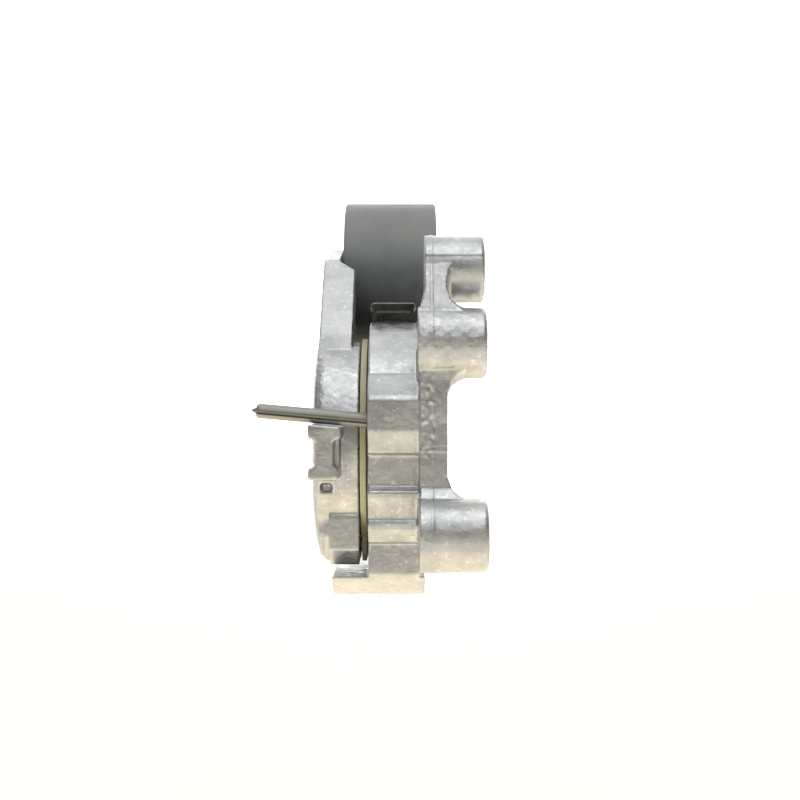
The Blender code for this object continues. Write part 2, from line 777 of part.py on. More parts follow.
def add_bearing(steel, cage_plastic, rubber):
    half = BEARING_WIDTH / 2
    reach = 45
    outer_groove = [
        (BALL_PITCH_RADIUS + dx, BEARING_Y + dy)
        for dx, dy in arc((0, 0), GROOVE_RADIUS, reach, -reach, 6)
    ]
    inner_groove = [
        (BALL_PITCH_RADIUS + dx, BEARING_Y + dy)
        for dx, dy in arc((0, 0), GROOVE_RADIUS, 180 + reach, 180 - reach, 6)
    ]
    shoulder = GROOVE_RADIUS * math.cos(math.radians(reach))
    outer_shoulder = BALL_PITCH_RADIUS + shoulder
    inner_shoulder = BALL_PITCH_RADIUS - shoulder
    at_pulley(
        turned(
            "bearing_outer_ring",
            [
                (outer_shoulder, BEARING_Y + half),
                *outer_groove,
                (outer_shoulder, BEARING_Y - half),
                (BEARING_RADIUS - 0.5, BEARING_Y - half),
                (BEARING_RADIUS, BEARING_Y - half + 0.5),
                (BEARING_RADIUS, BEARING_Y + half - 0.5),
                (BEARING_RADIUS - 0.5, BEARING_Y + half),
            ],
            steel,
            segments=SMALL_ROUND,
        )
    )
    at_pulley(
        turned(
            "bearing_inner_ring",
            [
                (BEARING_BORE_RADIUS, BEARING_Y - half),
                (inner_shoulder, BEARING_Y - half),
                *inner_groove,
                (inner_shoulder, BEARING_Y + half),
                (BEARING_BORE_RADIUS, BEARING_Y + half),
            ],
            steel,
            segments=SMALL_ROUND,
        )
    )
    cage = at_pulley(
        turned(
            "ball_cage",
            [
                (BALL_PITCH_RADIUS - 1.2, BEARING_Y - 4.7),
                (BALL_PITCH_RADIUS + 1.2, BEARING_Y - 4.7),
                (BALL_PITCH_RADIUS + 1.2, BEARING_Y + 4.7),
                (BALL_PITCH_RADIUS - 1.2, BEARING_Y + 4.7),
            ],
            cage_plastic,
            segments=SMALL_ROUND,
        )
    )
    for i in range(BALL_COUNT):
        angle = 2 * math.pi * i / BALL_COUNT
        place = Vector((math.cos(angle), 0.0, math.sin(angle))) * BALL_PITCH_RADIUS
        place.y = BEARING_Y
        for name, radius in ((f"ball_{i + 1}", BALL_RADIUS), (f"pocket_{i + 1}_cut", 3.75)):
            bm = bmesh.new()
            bmesh.ops.create_uvsphere(bm, u_segments=10, v_segments=6, radius=radius)
            bmesh.ops.translate(bm, vec=place, verts=bm.verts)
            made = at_pulley(add_object(name, bm, steel))
            if radius != BALL_RADIUS:
                combine(cage, made, "DIFFERENCE", "EXACT")
    for name, side in (("front_seal", -1), ("rear_seal", 1)):
        near = BEARING_Y + side * (half - 0.3)
        deep = BEARING_Y + side * (half - 0.9)
        at_pulley(
            turned(
                name,
                [
                    (inner_shoulder + FIT, near),
                    (outer_shoulder - FIT, near),
                    (outer_shoulder - FIT, deep),
                    (inner_shoulder + FIT, deep),
                ],
                rubber,
                segments=SMALL_ROUND,
            )
        )


def add_pulley_fasteners(steel):
    """The shields at both sides of the bearing and the bolt that clamps its inner ring."""
    at_pulley(
        turned(
            "front_dust_shield",
            [
                (SPIGOT_RADIUS + FIT, BEARING_FRONT_Y - FIT - SHIELD_SHEET),
                (12.0, BEARING_FRONT_Y - FIT - SHIELD_SHEET),
                (13.2, BEARING_FRONT_Y - 1.7 - SHIELD_SHEET),
                (19.0, BEARING_FRONT_Y - 1.7 - SHIELD_SHEET),
                (19.0, BEARING_FRONT_Y - 1.7),
                (13.6, BEARING_FRONT_Y - 1.7),
                (12.4, BEARING_FRONT_Y - FIT),
                (SPIGOT_RADIUS + FIT, BEARING_FRONT_Y - FIT),
            ],
            steel,
            segments=SMALL_ROUND,
        )
    )
    at_pulley(
        turned(
            "rear_dust_shield",
            [
                (BOLT_RADIUS + FIT, BEARING_REAR_Y + FIT),
                (12.4, BEARING_REAR_Y + FIT),
                (13.6, BEARING_REAR_Y + 1.7),
                (19.0, BEARING_REAR_Y + 1.7),
                (19.0, BEARING_REAR_Y + 1.7 + SHIELD_SHEET),
                (13.2, BEARING_REAR_Y + 1.7 + SHIELD_SHEET),
                (12.0, BEARING_REAR_Y + FIT + SHIELD_SHEET),
                (BOLT_RADIUS + FIT, BEARING_REAR_Y + FIT + SHIELD_SHEET),
            ],
            steel,
            segments=SMALL_ROUND,
        )
    )
    seat = BEARING_REAR_Y + 2 * FIT + SHIELD_SHEET
    bolt = turned(
        "pulley_bolt",
        [
            (0.0, PLATE_FRONT_Y + 0.6),
            (BOLT_RADIUS - 0.9, PLATE_FRONT_Y + 0.6),
            (BOLT_RADIUS, PLATE_FRONT_Y + 1.5),
            (BOLT_RADIUS, seat),
            (11.0, seat),
            (11.0, seat + 1.0),
            (9.4, seat + 1.8),
            (0.0, seat + 1.8),
        ],
        steel,
        segments=SMALL_ROUND,
    )
    at_pulley(bolt)
    head = cylinder("bolt_hex_solid", (0, 0), 9.2, seat + 1.0, seat + 8.0, None, 6)
    combine(bolt, at_pulley(head), "UNION", "EXACT")
    socket = cylinder("bolt_socket_cut", (0, 0), 4.4, seat + 3.6, seat + 9.0, None, 6)
    combine(bolt, at_pulley(socket), "DIFFERENCE", "EXACT")


def group_on_joints():
    """Parents the turning pieces to empties that stand on the joint axes."""
    arm_pivot = bpy.data.objects.new("arm_pivot", None)
    pulley_axis = bpy.data.objects.new("pulley_axis", None)
    for empty in (arm_pivot, pulley_axis):
        bpy.context.scene.collection.objects.link(empty)
    pulley_axis.location = (PULLEY_X * MM, 0.0, PULLEY_Z * MM)
    pulley_axis.parent = arm_pivot
    bpy.context.view_layer.update()
    with_arm = {
        "arm_casting",
        "front_cap",
        "pivot_bushing",
        "bearing_inner_ring",
        "front_dust_shield",
        "rear_dust_shield",
        "pulley_bolt",
    }
    with_pulley = {"pulley_shell", "bearing_outer_ring", "ball_cage", "front_seal", "rear_seal"}
    with_pulley |= {f"ball_{i + 1}" for i in range(BALL_COUNT)}
    for names, parent in ((with_arm, arm_pivot), (with_pulley, pulley_axis)):
        for name in sorted(names):
            made = bpy.data.objects[name]
            made.parent = parent
            made.matrix_parent_inverse = parent.matrix_world.inverted()


def main():
    for old in list(bpy.data.objects):
        bpy.data.objects.remove(old)
    cast = principled("cast_aluminium", (0.62, 0.63, 0.63), 0.45, 0.9)
    black = principled("black_plastic", (0.035, 0.037, 0.04), 0.42, 0.0)
    nylon = principled("cream_nylon", (0.72, 0.68, 0.50), 0.5, 0.0)
    steel = principled("bright_steel", (0.56, 0.56, 0.55), 0.3, 1.0)
    spring_steel = principled("spring_steel", (0.16, 0.16, 0.17), 0.4, 1.0)
    rubber = principled("seal_rubber", (0.03, 0.03, 0.03), 0.7, 0.0)
    add_base_housing(cast)
    add_arm(cast)
    add_pivot_pieces(steel, nylon)
    add_front_cap(black)
    add_damping_ring(nylon)
    add_torsion_spring(spring_steel)
    add_spring_seat(nylon)
    add_pulley_shell(black)
    add_bearing(steel, nylon, rubber)
    add_pulley_fasteners(steel)
    add_lock_pin(steel)
    add_keeper_clip(black)
    group_on_joints()


main()
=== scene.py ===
"""The studio look of a belt tensioner: smoothed castings, a moulded pulley, a slotted pin and their
materials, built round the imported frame. Lengths are metres; MM turns millimetres into metres.
"""

import json
import math

import bmesh
import bpy
import numpy as np
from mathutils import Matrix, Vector, noise


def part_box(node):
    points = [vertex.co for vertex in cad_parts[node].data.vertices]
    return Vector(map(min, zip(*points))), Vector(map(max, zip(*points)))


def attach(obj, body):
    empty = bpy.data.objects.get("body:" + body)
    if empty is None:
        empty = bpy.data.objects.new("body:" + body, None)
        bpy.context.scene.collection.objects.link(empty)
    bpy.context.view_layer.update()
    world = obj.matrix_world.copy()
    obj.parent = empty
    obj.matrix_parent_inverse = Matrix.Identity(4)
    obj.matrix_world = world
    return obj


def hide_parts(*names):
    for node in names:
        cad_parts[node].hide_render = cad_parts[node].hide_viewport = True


MM = 0.001

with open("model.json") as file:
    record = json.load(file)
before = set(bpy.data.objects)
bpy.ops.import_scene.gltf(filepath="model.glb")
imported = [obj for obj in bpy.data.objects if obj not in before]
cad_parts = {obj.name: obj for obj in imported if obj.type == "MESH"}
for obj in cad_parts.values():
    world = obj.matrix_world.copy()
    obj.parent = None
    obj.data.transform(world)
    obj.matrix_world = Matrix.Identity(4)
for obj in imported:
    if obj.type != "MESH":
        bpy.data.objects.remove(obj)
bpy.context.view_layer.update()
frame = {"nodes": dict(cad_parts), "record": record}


def joint(name):
    return next(j for j in frame["record"]["behaviour"]["joints"] if j["name"] == name)


PULLEY_CENTRE = tuple(joint("pulley_spin")["pos_m"][axis] / MM for axis in (0, 2))


# Side on, level with the middle of the mounting bosses.
CAMERA_PLACE = (0.390, -0.0255, 0.0139)
CAMERA_LENS = 53.1
FLOOR_Z = -0.16


def add_camera():
    camera = bpy.data.objects.new("camera", bpy.data.cameras.new("camera"))
    bpy.context.scene.collection.objects.link(camera)
    camera.location = CAMERA_PLACE
    camera.rotation_euler = (math.radians(90), 0.0, math.radians(90))
    camera.data.lens = CAMERA_LENS
    camera.data.sensor_width = 36.0
    camera.data.clip_start = 0.01
    bpy.context.scene.camera = camera


# ---------------------------------------------------------------- node helpers


class Nodes:
    """Short calls for building one material's node tree, in object coordinates."""

    def __init__(self, name):
        self.material = bpy.data.materials.new(name)
        self.material.use_nodes = True
        self.tree = self.material.node_tree
        self.shader = self.tree.nodes["Principled BSDF"]
        self.place = self.tree.nodes.new("ShaderNodeTexCoord").outputs["Object"]

    def link(self, source, socket):
        self.tree.links.new(source, socket)

    def stretched(self, scale):
        mapping = self.tree.nodes.new("ShaderNodeMapping")
        mapping.inputs["Scale"].default_value = scale
        self.link(self.place, mapping.inputs["Vector"])
        return mapping.outputs["Vector"]

    def noise(self, scale, detail=4.0, roughness=0.55, vector=None, distortion=0.0):
        node = self.tree.nodes.new("ShaderNodeTexNoise")
        node.inputs["Scale"].default_value = scale
        node.inputs["Detail"].default_value = detail
        node.inputs["Roughness"].default_value = roughness
        node.inputs["Distortion"].default_value = distortion
        self.link(vector or self.place, node.inputs["Vector"])
        return node.outputs["Fac"]

    def ramp(self, source, stops):
        node = self.tree.nodes.new("ShaderNodeValToRGB")
        elements = node.color_ramp.elements
        while len(elements) < len(stops):
            elements.new(0.5)
        for element, (position, color) in zip(elements, stops):
            element.position = position
            element.color = (*color, 1.0) if len(color) == 3 else color
        self.link(source, node.inputs["Fac"])
        return node.outputs["Color"]

    def levels(self, source, low, high, out_low=0.0, out_high=1.0):
        node = self.tree.nodes.new("ShaderNodeMapRange")
        node.inputs["From Min"].default_value = low
        node.inputs["From Max"].default_value = high
        node.inputs["To Min"].default_value = out_low
        node.inputs["To Max"].default_value = out_high
        self.link(source, node.inputs["Value"])
        return node.outputs["Result"]

    def math(self, operation, first, second):
        node = self.tree.nodes.new("ShaderNodeMath")
        node.operation = operation
        for value, socket in ((first, node.inputs[0]), (second, node.inputs[1])):
            if isinstance(value, float):
                socket.default_value = value
            else:
                self.link(value, socket)
        return node.outputs["Value"]

    def mix(self, factor, first, second, blend="MIX"):
        node = self.tree.nodes.new("ShaderNodeMix")
        node.data_type = "RGBA"
        node.blend_type = blend
        for value, socket in ((factor, node.inputs[0]), (first, node.inputs[6]), (second, node.inputs[7])):
            if isinstance(value, float):
                socket.default_value = value
            elif isinstance(value, tuple):
                socket.default_value = (*value, 1.0)
            else:
                self.link(value, socket)
        return node.outputs[2]

    def bump(self, height, distance, strength=1.0, under=None):
        node = self.tree.nodes.new("ShaderNodeBump")
        node.inputs["Distance"].default_value = distance
        node.inputs["Strength"].default_value = strength
        self.link(height, node.inputs["Height"])
        if under:
            self.link(under, node.inputs["Normal"])
        return node.outputs["Normal"]

    def finish(self, color=None, roughness=None, normal=None, metallic=0.0):
        for value, socket in ((color, "Base Color"), (roughness, "Roughness"), (normal, "Normal")):
            if value is not None:
                self.link(value, self.shader.inputs[socket])
        self.shader.inputs["Metallic"].default_value = metallic
        return self.material


CAST_STOPS = [
    (0.32, (0.42, 0.43, 0.44)),
    (0.50, (0.52, 0.53, 0.535)),
    (0.70, (0.61, 0.615, 0.615)),
]


def cast_aluminium():
    """As-cast metal: cloudy grey, bright rubbed flecks, faint flow streaks and a sandy skin."""
    n = Nodes("cast_aluminium")
    cloud = n.noise(75.0, 5.0, 0.62)
    base = n.ramp(cloud, CAST_STOPS)
    streak = n.noise(210.0, 4.0, 0.65, n.stretched((1.0, 0.45, 1.5)), 1.2)
    color = n.mix(n.levels(streak, 0.54, 0.70, 0.0, 0.5), base, (0.70, 0.70, 0.69))
    fleck = n.noise(520.0, 4.0, 0.72, None, 0.8)
    color = n.mix(n.levels(fleck, 0.58, 0.68, 0.0, 0.65), color, (0.88, 0.88, 0.87))
    pit = n.noise(800.0, 3.0, 0.6)
    color = n.mix(n.levels(pit, 0.34, 0.25, 0.0, 0.6), color, (0.20, 0.20, 0.21))
    rough = n.levels(n.noise(330.0, 4.0, 0.6), 0.35, 0.65, 0.26, 0.46)
    skin = n.bump(n.noise(1300.0, 4.0, 0.65), 0.00010, 0.6)
    scratch = n.bump(streak, 0.00018, 0.5, skin)
    wave = n.bump(n.noise(170.0, 3.0, 0.5), 0.0005, 0.5, scratch)
    return n.finish(color, rough, wave, 0.92)


# Height ramp for the black plastic: painted shade makes it near black low down; dust and painted top light
# make it grey at the top.
DUST_AND_SHADE_STOPS = [
    (0.0, (0.007, 0.008, 0.008)),
    (0.14, (0.030, 0.036, 0.036)),
    (0.50, (0.160, 0.185, 0.188)),
    (1.0, (0.350, 0.345, 0.345)),
]


def black_plastic():
    """Moulded glass-filled plastic, near black toward the bottom and greyed toward the top: partly fine
    dust, partly painted shade low down and painted top light above.
    """
    n = Nodes("black_plastic")
    split = n.tree.nodes.new("ShaderNodeSeparateXYZ")
    n.link(n.place, split.inputs["Vector"])
    smear = n.levels(n.noise(55.0, 5.0, 0.6), 0.3, 0.7, -0.005, 0.005)
    height = n.math("ADD", split.outputs["Z"], smear)
    # painted shade and painted top light by height alone, with some real dust on top
    dust_and_shade = n.levels(height, 0.036, 0.090)
    color = n.ramp(dust_and_shade, DUST_AND_SHADE_STOPS)
    dust = n.noise(1700.0, 2.0, 0.6)
    color = n.mix(n.levels(dust, 0.66, 0.76, 0.0, 0.35), color, (0.22, 0.22, 0.22))
    rough = n.levels(n.noise(500.0, 3.0, 0.6, n.stretched((1.0, 0.15, 1.0))), 0.35, 0.65, 0.40, 0.56)
    skin = n.bump(n.noise(2600.0, 3.0, 0.6), 0.00004, 0.35)
    return n.finish(color, rough, skin)


def cream_nylon():
    n = Nodes("cream_nylon")
    cloud = n.noise(160.0, 4.0, 0.6)
    color = n.ramp(cloud, [(0.3, (0.52, 0.48, 0.30)), (0.7, (0.64, 0.60, 0.40))])
    speck = n.noise(1500.0, 2.0, 0.6)
    color = n.mix(n.levels(speck, 0.64, 0.74, 0.0, 0.5), color, (0.30, 0.27, 0.19))
    rough = n.levels(cloud, 0.3, 0.7, 0.40, 0.55)
    return n.finish(color, rough, n.bump(n.noise(1800.0, 3.0, 0.6), 0.00004, 0.4))


def steel(name, dark, light, scratch=(1.0, 1.0, 1.0), rough_low=0.22, rough_high=0.40):
    """Plain steel with long fine marks along the axis whose scale is small."""
    n = Nodes(name)
    line = n.noise(700.0, 4.0, 0.7, n.stretched(scratch))
    color = n.ramp(line, [(0.3, dark), (0.7, light)])
    spot = n.noise(520.0, 2.0, 0.5)
    color = n.mix(n.levels(spot, 0.68, 0.76, 0.0, 0.6), color, tuple(0.35 * c for c in dark))
    rough = n.levels(line, 0.3, 0.7, rough_low, rough_high)
    return n.finish(color, rough, n.bump(line, 0.00003, 0.5), 0.95)


def black_coat():
    n = Nodes("black_coat")
    cloud = n.noise(300.0, 4.0, 0.6)
    color = n.ramp(cloud, [(0.35, (0.012, 0.012, 0.013)), (0.7, (0.030, 0.030, 0.031))])
    return n.finish(color, n.levels(cloud, 0.3, 0.7, 0.28, 0.45), n.bump(cloud, 0.00005, 0.4))


def seal_rubber():
    n = Nodes("seal_rubber")
    cloud = n.noise(420.0, 4.0, 0.6)
    color = n.ramp(cloud, [(0.3, (0.022, 0.022, 0.022)), (0.7, (0.040, 0.040, 0.040))])
    return n.finish(color, n.levels(cloud, 0.3, 0.7, 0.6, 0.8), n.bump(cloud, 0.00006, 0.4))


def paint(obj, material):
    obj.data.materials.clear()
    obj.data.materials.append(material)


# ---------------------------------------------------------------- mesh helpers


def new_object(name, bm, material):
    """An object of a bmesh whose lengths are millimetres."""
    bmesh.ops.recalc_face_normals(bm, faces=bm.faces)
    bmesh.ops.scale(bm, vec=Vector((MM, MM, MM)), verts=bm.verts)
    mesh = bpy.data.meshes.new(name)
    bm.to_mesh(mesh)
    bm.free()
    mesh.shade_smooth()
    mesh.set_sharp_from_angle(angle=math.radians(32))
    obj = bpy.data.objects.new(name, mesh)
    bpy.context.scene.collection.objects.link(obj)
    paint(obj, material)
    return obj


def arc(centre, radius, start, end, steps):
    """Points on an arc between two angles in degrees, both ends included."""
    angles = [math.radians(start + (end - start) * i / steps) for i in range(steps + 1)]
    return [(centre[0] + radius * math.cos(a), centre[1] + radius * math.sin(a)) for a in angles]


def rounded(outline, radius, steps=4):
    """The outline with each corner replaced by a short curve, no longer than its sides allow."""
    corners = [Vector(point) for point in outline]
    points = []
    for before, corner, after in zip(corners[-1:] + corners[:-1], corners, corners[1:] + corners[:1]):
        back = before - corner
        ahead = after - corner
        reach = min(radius, 0.45 * back.length, 0.45 * ahead.length)
        start = corner + back.normalized() * reach
        end = corner + ahead.normalized() * reach
        for i in range(steps + 1):
            t = i / steps
            points.append(start * (1 - t) ** 2 + corner * 2 * t * (1 - t) + end * t**2)
    return [tuple(point) for point in points]


def prism(name, outline, front_y, rear_y, material=None):
    """An outline in X and Z, drawn out along Y."""
    bm = bmesh.new()
    front = [bm.verts.new((x, front_y, z)) for x, z in outline]
    rear = [bm.verts.new((x, rear_y, z)) for x, z in outline]
    return closed_band(name, bm, front, rear, material)


def cross_prism(name, outline, far_x, near_x, material=None, draft=0.0):
    """An outline in Y and Z, drawn out along X, its near end smaller by the draft."""
    bm = bmesh.new()
    mid_y = sum(y for y, _ in outline) / len(outline)
    mid_z = sum(z for _, z in outline) / len(outline)
    near = [
        bm.verts.new((near_x, y + math.copysign(draft, mid_y - y), z + math.copysign(draft, mid_z - z)))
        for y, z in outline
    ]
    far = [bm.verts.new((far_x, y, z)) for y, z in outline]
    return closed_band(name, bm, near, far, material)


def closed_band(name, bm, first, last, material):
    bm.faces.new(first)
    bm.faces.new(last[::-1])
    for i in range(len(first)):
        j = (i + 1) % len(first)
        bm.faces.new((first[j], first[i], last[i], last[j]))
    return new_object(name, bm, material)


def turned(name, profile, material, centre=(0.0, 0.0), segments=160, corner=0.0):
    """A closed outline of (radius, y) points turned about an axis along Y through centre."""
    if corner:
        profile = rounded(profile, corner)
    bm = bmesh.new()
    rings = []
    for radius, y in profile:
        if radius < 1e-6:
            rings.append([bm.verts.new((centre[0], y, centre[1]))] * segments)
            continue
        circle = arc(centre, radius, 0, 360, segments)[:-1]
        rings.append([bm.verts.new((x, y, z)) for x, z in circle])
    for here, there in zip(rings, rings[1:] + rings[:1]):
        for i in range(segments):
            j = (i + 1) % segments
            corners = dict.fromkeys((here[i], here[j], there[j], there[i]))
            if len(corners) > 2:
                bm.faces.new(corners)
    return new_object(name, bm, material)


def stands_for(obj, node, body):
    """The piece takes a CAD node's place on its body."""
    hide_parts(node)
    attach(obj, body)
    return obj


def evaluated_copy(obj):
    """The object's mesh with its modifiers applied, as a new mesh."""
    graph = bpy.context.evaluated_depsgraph_get()
    graph.update()
    return bpy.data.meshes.new_from_object(obj.evaluated_get(graph))


def apply_all(obj):
    mesh = evaluated_copy(obj)
    obj.modifiers.clear()
    obj.data = mesh


def combine(obj, tool, operation):
    modifier = obj.modifiers.new(operation, "BOOLEAN")
    modifier.object = tool
    modifier.operation = operation
    apply_all(obj)
    bpy.data.objects.remove(tool)


def soften(obj, width, segments=2, edge_material=None):
    """Rounds the sharp edges; with a second material, the rounding faces take it."""
    modifier = obj.modifiers.new("Soft edges", "BEVEL")
    modifier.width = width * MM
    modifier.segments = segments
    modifier.limit_method = "ANGLE"
    modifier.angle_limit = math.radians(35)
    modifier.use_clamp_overlap = True
    if edge_material:
        obj.data.materials.append(edge_material)
        modifier.material = 1
    apply_all(obj)
    obj.data.shade_smooth()
    obj.data.set_sharp_from_angle(angle=math.radians(50))


def read_points(mesh, attribute="co"):
    values = np.empty(len(mesh.vertices) * 3, np.float32)
    mesh.vertices.foreach_get(attribute, values)
    return values.reshape(-1, 3).astype(np.float64)


def write_points(mesh, points):
    mesh.vertices.foreach_set("co", points.astype(np.float32).reshape(-1))
    mesh.update()


def true_up(obj, centre, radii, span, tolerance):
    """Puts points near a round or slightly tapered wall exactly on it: no flats from its facets.

    radii are the wall's radii at the two ends of its span of y, in millimetres.
    """
    points = read_points(obj.data) / MM
    x = points[:, 0] - centre[0]
    z = points[:, 2] - centre[1]
    distance = np.hypot(x, z)
    radius = np.interp(points[:, 1], span, radii)
    near = (np.abs(distance - radius) < tolerance) & (points[:, 1] > span[0]) & (points[:, 1] < span[1])
    scale = np.where(near, radius / np.maximum(distance, 1e-6), 1.0)
    points[:, 0] = centre[0] + x * scale
    points[:, 2] = centre[1] + z * scale
    write_points(obj.data, points * MM)


def ripple(points, size):
    """A smooth uneven field between about -1 and 1, with lumps of a given size in millimetres."""
    x, y, z = (points * (2 * math.pi / size)).T
    first = np.sin(x + 1.7 * np.sin(0.61 * y + 0.3)) * np.sin(0.83 * z + 1.3 * np.sin(0.47 * x))
    second = np.sin(1.9 * y + 1.1 * np.sin(1.3 * z)) * np.sin(1.7 * x - 0.9 * z + 2.0)
    return 0.6 * first + 0.4 * second


def ridge(values, at, half_width):
    return np.clip(1.0 - ((values - at) / half_width) ** 2, 0.0, 1.0)


def within(values, low, high, blur=0.6):
    """1 between low and high, fading to 0 outside."""
    return np.clip((values - low) / blur + 1, 0, 1) * np.clip((high - values) / blur + 1, 0, 1)


def raise_relief(obj, relief):
    """Moves each point along its normal by relief(points, normals), in millimetres."""
    points = read_points(obj.data) / MM
    normals = read_points(obj.data, "normal")
    height = relief(points, normals)
    write_points(obj.data, (points + normals * height[:, None]) * MM)


def casting(node, body, material, extras, walls, relief, melted=None, voxel=0.42, passes=2):
    """A cast version of a CAD solid: extras joined on, edges eased, and parting lines raised.

    melted(points) picks the points of a region whose steps are smoothed away.
    """
    bm = bmesh.new()
    bm.from_mesh(frame["nodes"][node].data)
    for extra in extras:
        bm.from_mesh(extra.data)
        bpy.data.objects.remove(extra)
    mesh = bpy.data.meshes.new(node + "_cast")
    bm.to_mesh(mesh)
    bm.free()
    obj = bpy.data.objects.new(node + "_cast", mesh)
    bpy.context.scene.collection.objects.link(obj)
    remesh = obj.modifiers.new("Remesh", "REMESH")
    remesh.mode = "VOXEL"
    remesh.voxel_size = voxel * MM * 1.0
    apply_all(obj)
    for wall in walls:
        true_up(obj, *wall)
    smooth = obj.modifiers.new("Ease edges", "SMOOTH")
    smooth.factor = 0.5
    smooth.iterations = passes
    apply_all(obj)
    if melted:
        picked = np.flatnonzero(melted(read_points(obj.data) / MM))
        obj.vertex_groups.new(name="melted").add([int(i) for i in picked], 1.0, "REPLACE")
        smooth = obj.modifiers.new("Melt steps", "SMOOTH")
        smooth.factor = 0.6
        smooth.iterations = 24
        smooth.vertex_group = "melted"
        apply_all(obj)
    raise_relief(obj, relief)
    obj.data.shade_smooth()
    paint(obj, material)
    return stands_for(obj, node, body)


# ---------------------------------------------------------------- the castings

# The arm's and the base's planes, in millimetres as in the frame.
ARM_FRONT_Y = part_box("arm_casting")[0][1] / MM
ARM_REAR_Y = -38.0
ARM_RADIUS = 33.6
BASE_FRONT_Y = -35.2
FLANGE_FRONT_Y = -19.7
FLANGE_REAR_Y = -11.5
BASE_RADIUS = 40.0
PARTING_Y = -16.1
FLANGE_LINE_Y = -18.8
TOP_BOSS = (28.0, 53.9, 10.2)
MIDDLE_BOSS = (38.0, 30.8, 10.6)
BOTTOM_BOSS = (45.0, -25.6, 10.8)
FLASH_GRAIN = Vector((0.5, 1.2, 0.55))
WINDOW_Y = (-49.6, -46.2)
WINDOW_Z = (-14.1, -11.5)
PLATE_FRONT_Y = -50.0
PLATE_REAR_Y = -45.9
FOOT_FRONT_Y = -52.2
FOOT_BEND_Y = -44.5
FOOT_BEND = 7.5


def arm_relief(points, normals):
    x, y, z = points.T
    side = within(np.abs(normals[:, 1]), -1.0, 0.5, 0.2)
    near = within(normals[:, 0], 0.25, 2.0, 0.2)
    height = 0.035 * ripple(points, 9.0) + 0.015 * ripple(points, 2.7)
    height += 0.10 * ripple(points, 3.3) * near * within(z, 13.0, 29.0, 3.0) * (x > 0)
    height -= 0.12 * ridge(y, PLATE_REAR_Y, 0.5) * side * within(z, 34.0, 61.0, 1.0)
    rim_y = np.maximum(WINDOW_Y[0] - y, y - WINDOW_Y[1])
    rim_z = np.maximum(WINDOW_Z[0] - z, z - WINDOW_Z[1])
    rim = np.maximum(rim_y, rim_z)
    height += 0.30 * ridge(rim, 0.75, 0.6) * near * (x > 29.0)
    return height


def foot_front(points):
    """The front of the arm's foot, before its stop lug and outside its flat face."""
    x, y, z = points.T
    return (y < -47.9) & (z < -17.5) & (np.hypot(x, z) > 25.5)


def base_relief(points, normals):
    x, y, z = points.T
    side = within(np.abs(normals[:, 1]), -1.0, 0.45, 0.2)
    near = within(normals[:, 0], 0.5, 2.0, 0.2)
    height = 0.035 * ripple(points, 9.0) + 0.015 * ripple(points, 2.9)
    height += 0.26 * ridge(y, PARTING_Y, 0.45) * side
    height -= 0.10 * ridge(y, FLANGE_LINE_Y, 0.5) * side * near * (x > 40.0)
    flash = within(y, FLANGE_LINE_Y, PARTING_Y + 0.6, 0.4) * within(z, -1.5, 17.5, 2.0)
    flash = flash * near * (x > 43.0)
    rough = np.flatnonzero(flash > 0)
    grain = [noise.noise(Vector(point) * FLASH_GRAIN) for point in points[rough]]
    height[rough] += 0.55 * flash[rough] * grain
    height += 0.22 * ridge(z, 57.4, 0.45) * side * (x > 30.0)
    height += 0.22 * ridge(z, -1.0, 0.45) * near * (x > 44.0)
    height += 0.10 * ripple(points, 3.1) * near * within(z, 26.0, 40.0, 2.0) * within(y, -19.0, -3.0)
    return height


def foot_outline(inset):
    """The low bulge of the arm behind its stop lug."""
    return [
        (24.4 - 0.4 * inset, -17.0),
        (24.4 - 0.6 * inset, -28.5 + 0.5 * inset),
        (21.5 - 0.6 * inset, -34.4 + inset),
        (15.0, -36.8 + inset),
        (5.0, -37.2 + inset),
        (-4.0 + 0.3 * inset, -35.8 + inset),
        (-12.0 + inset, -31.4 + inset),
        (-16.0 + inset, -25.0),
        (0.0, -16.0),
    ]


def add_castings(cast):
    arm_extras = []
    for step in range(9):
        lean = math.radians(10 * step)
        front_y = FOOT_BEND_Y - (FOOT_BEND_Y - FOOT_FRONT_Y) * math.sin(lean)
        outline = foot_outline(FOOT_BEND * (1 - math.cos(lean)))
        rear_y = front_y + 1.5 if step else ARM_REAR_Y
        arm_extras.append(prism("foot", rounded(outline, 2.5), front_y, rear_y))
    origin = (0.0, 0.0)
    casting(
        "arm_casting",
        "arm",
        cast,
        arm_extras,
        [(origin, (ARM_RADIUS, ARM_RADIUS), (-49.2, ARM_REAR_Y - 0.2), 0.25)],
        arm_relief,
        foot_front,
    )
    boss_walls = [
        (boss[:2], (boss[2] + 0.2, boss[2] - 0.1), (front_y, -0.9), 0.2)
        for boss, front_y in (
            (TOP_BOSS, -17.6),
            (MIDDLE_BOSS, FLANGE_FRONT_Y),
            (BOTTOM_BOSS, FLANGE_FRONT_Y),
        )
    ]
    casting(
        "base_housing",
        "base",
        cast,
        [],
        [
            (origin, (BASE_RADIUS, BASE_RADIUS), (BASE_FRONT_Y + 0.2, FLANGE_FRONT_Y - 0.1), 0.3),
            (origin, (BASE_RADIUS - 1.5,) * 2, (FLANGE_FRONT_Y + 0.2, FLANGE_REAR_Y - 0.2), 0.3),
            *boss_walls,
        ],
        base_relief,
    )


# ---------------------------------------------------------------- pulley, ring, clip and pin

PULLEY_RADIUS = 28.0
PULLEY_FRONT_Y = -45.3
PULLEY_REAR_Y = -12.6
BEARING_Y = 0.5 * (PULLEY_FRONT_Y + PULLEY_REAR_Y)
BEARING_RADIUS = 20.0
BEARING_HALF = 6.0
SHIELD_SHEET = 1.0
FIT = 0.3


